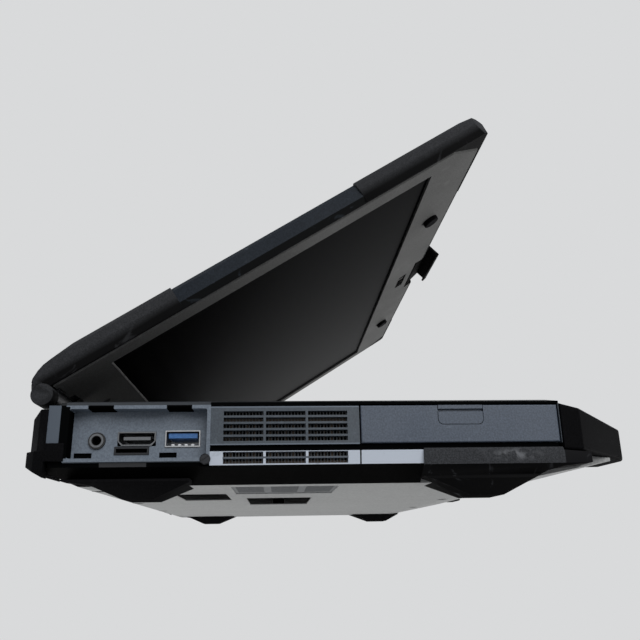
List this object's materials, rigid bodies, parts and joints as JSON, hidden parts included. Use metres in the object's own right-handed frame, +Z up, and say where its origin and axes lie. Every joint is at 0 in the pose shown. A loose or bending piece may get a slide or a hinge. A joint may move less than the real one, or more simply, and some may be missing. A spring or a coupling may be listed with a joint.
{
  "type": "laptop computer",
  "caption": "Rugged clamshell laptop computer: hinged screen lid with rubber bumpers and front latch, open side port bay, exhaust vent, slide-out drive and battery modules.",
  "frame": {"origin": "middle of the footprint, at the underside of the feet", "axes": "+X to the user's right, +Y to the hinge side, +Z up"},
  "size_m": [0.343, 0.247, 0.1742],
  "materials": {
    "slate_paint": "fine textured slate paint on magnesium",
    "pale_case": "satin cast magnesium",
    "deck_black": "textured black",
    "bumper_rubber": "matt moulded rubber",
    "skirt_black": "matt",
    "bezel_grey": "fine textured",
    "socket_steel": "plain",
    "socket_black": "plain",
    "tongue_blue": "plain",
    "board_green": "solder mask",
    "fin_aluminium": "plain",
    "screen_glass": "anti-glare",
    "panel_plastic": "plain",
    "key_black": "matt",
    "grille_grey": "matt",
    "hinge_steel": "black oxide",
    "drive_metal": "plain"
  },
  "bodies": {
    "base": {"bottom_case": "pale_case", "side_skirts": "skirt_black", "mid_frame": "slate_paint", "palm_rest": "deck_black", "intake_grille": "grille_grey", "dock_connector": "socket_black", "service_cover": "socket_black", "bottom_screws": "hinge_steel", "port_panel_left": "slate_paint", "port_panel_right": "slate_paint", "audio_jack": "socket_black", "video_socket": "socket_steel", "card_slot": "socket_steel", "usb_shells": "socket_steel", "usb_tongues": "tongue_blue", "rear_panel": "slate_paint", "network_sockets": "socket_steel", "serial_socket": "socket_steel", "power_socket": "socket_black", "heat_sink": "fin_aluminium", "fan_housing": "socket_black", "motherboard": "board_green", "processor": "fin_aluminium", "memory_modules": "board_green", "speakers": "socket_black", "bay_plates": "drive_metal", "touchpad": "deck_black", "keycaps": "key_black", "keyboard_tray": "deck_black", "front_corner_bumpers": "bumper_rubber", "front_foot_bumpers": "bumper_rubber", "rear_foot_bumpers": "bumper_rubber", "rear_corner_bumpers": "bumper_rubber", "hinge_brackets": "hinge_steel"},
    "fan": {"fan_rotor": "socket_black"},
    "drive": {"drive_cover": "slate_paint", "drive_carrier": "skirt_black", "drive_unit": "drive_metal"},
    "drive_release": {"drive_button": "slate_paint"},
    "battery": {"battery_pack": "slate_paint"},
    "battery_release": {"battery_button": "slate_paint"},
    "pad_left": {"touchpad_button_left": "key_black"},
    "pad_right": {"touchpad_button_right": "key_black"},
    "power": {"power_button": "key_black"},
    "space": {"space_bar": "key_black"},
    "side_door": {"right_port_door": "slate_paint"},
    "back_door": {"rear_port_door": "slate_paint"},
    "latch": {"lid_latch": "skirt_black"},
    "shutter": {"camera_shutter": "skirt_black"},
    "lid": {"lid_cover": "slate_paint", "lid_rear_bumpers": "bumper_rubber", "lid_front_bumpers": "bumper_rubber", "lid_gasket": "skirt_black", "bezel": "bezel_grey", "lid_screws": "hinge_steel", "screen_glass": "screen_glass", "lcd_panel": "panel_plastic", "lid_pads": "bumper_rubber", "camera": "socket_black", "hinge_arms": "hinge_steel"}
  },
  "joints": [
    {"name": "lid_hinge", "type": "hinge", "parent": "base", "child": "lid", "pos_m": [0, 0.119, 0.0405], "axis": [-1, 0, 0], "range_deg": [-32.6, 107.4]},
    {"name": "latch_pivot", "type": "hinge", "parent": "lid", "child": "latch", "pos_m": [0, -0.0675, 0.16594], "axis": [1, 0, 0], "range_deg": [-10, 12]},
    {"name": "shutter_slide", "type": "slide", "parent": "lid", "child": "shutter", "axis": [-1, 0, 0], "range_m": [0, 0.0094]},
    {"name": "fan_spin", "type": "hinge", "parent": "base", "child": "fan", "pos_m": [-0.1245, 0.02285, 0.014], "axis": [0, 0, 1], "continuous": true},
    {"name": "drive_slide", "type": "slide", "parent": "base", "child": "drive", "axis": [-1, 0, 0], "range_m": [0, 0.1]},
    {"name": "drive_release_press", "type": "slide", "parent": "drive", "child": "drive_release", "axis": [1, 0, 0], "range_m": [0, 0.002], "stiffness_N_per_m": 600, "springref_m": -0.001},
    {"name": "battery_slide", "type": "slide", "parent": "base", "child": "battery", "axis": [1, 0, 0], "range_m": [0, 0.1]},
    {"name": "battery_release_press", "type": "slide", "parent": "battery", "child": "battery_release", "axis": [-1, 0, 0], "range_m": [0, 0.002], "stiffness_N_per_m": 600, "springref_m": -0.001},
    {"name": "pad_left_press", "type": "slide", "parent": "base", "child": "pad_left", "axis": [0, 0, -1], "range_m": [0, 0.0007], "stiffness_N_per_m": 600, "springref_m": -0.001},
    {"name": "pad_right_press", "type": "slide", "parent": "base", "child": "pad_right", "axis": [0, 0, -1], "range_m": [0, 0.0007], "stiffness_N_per_m": 600, "springref_m": -0.001},
    {"name": "power_press", "type": "slide", "parent": "base", "child": "power", "axis": [0, 0, -1], "range_m": [0, 0.0007], "stiffness_N_per_m": 600, "springref_m": -0.001},
    {"name": "space_press", "type": "slide", "parent": "base", "child": "space", "axis": [0, 0, -1], "range_m": [0, 0.002], "stiffness_N_per_m": 600, "springref_m": -0.001},
    {"name": "side_door_hinge", "type": "hinge", "parent": "base", "child": "side_door", "pos_m": [0.169, 0.0808, 0.0172], "axis": [0, 1, 0], "range_deg": [0, 90]},
    {"name": "back_door_hinge", "type": "hinge", "parent": "base", "child": "back_door", "pos_m": [0, 0.12, 0.0203], "axis": [-1, 0, 0], "range_deg": [0, 90]}
  ]
}
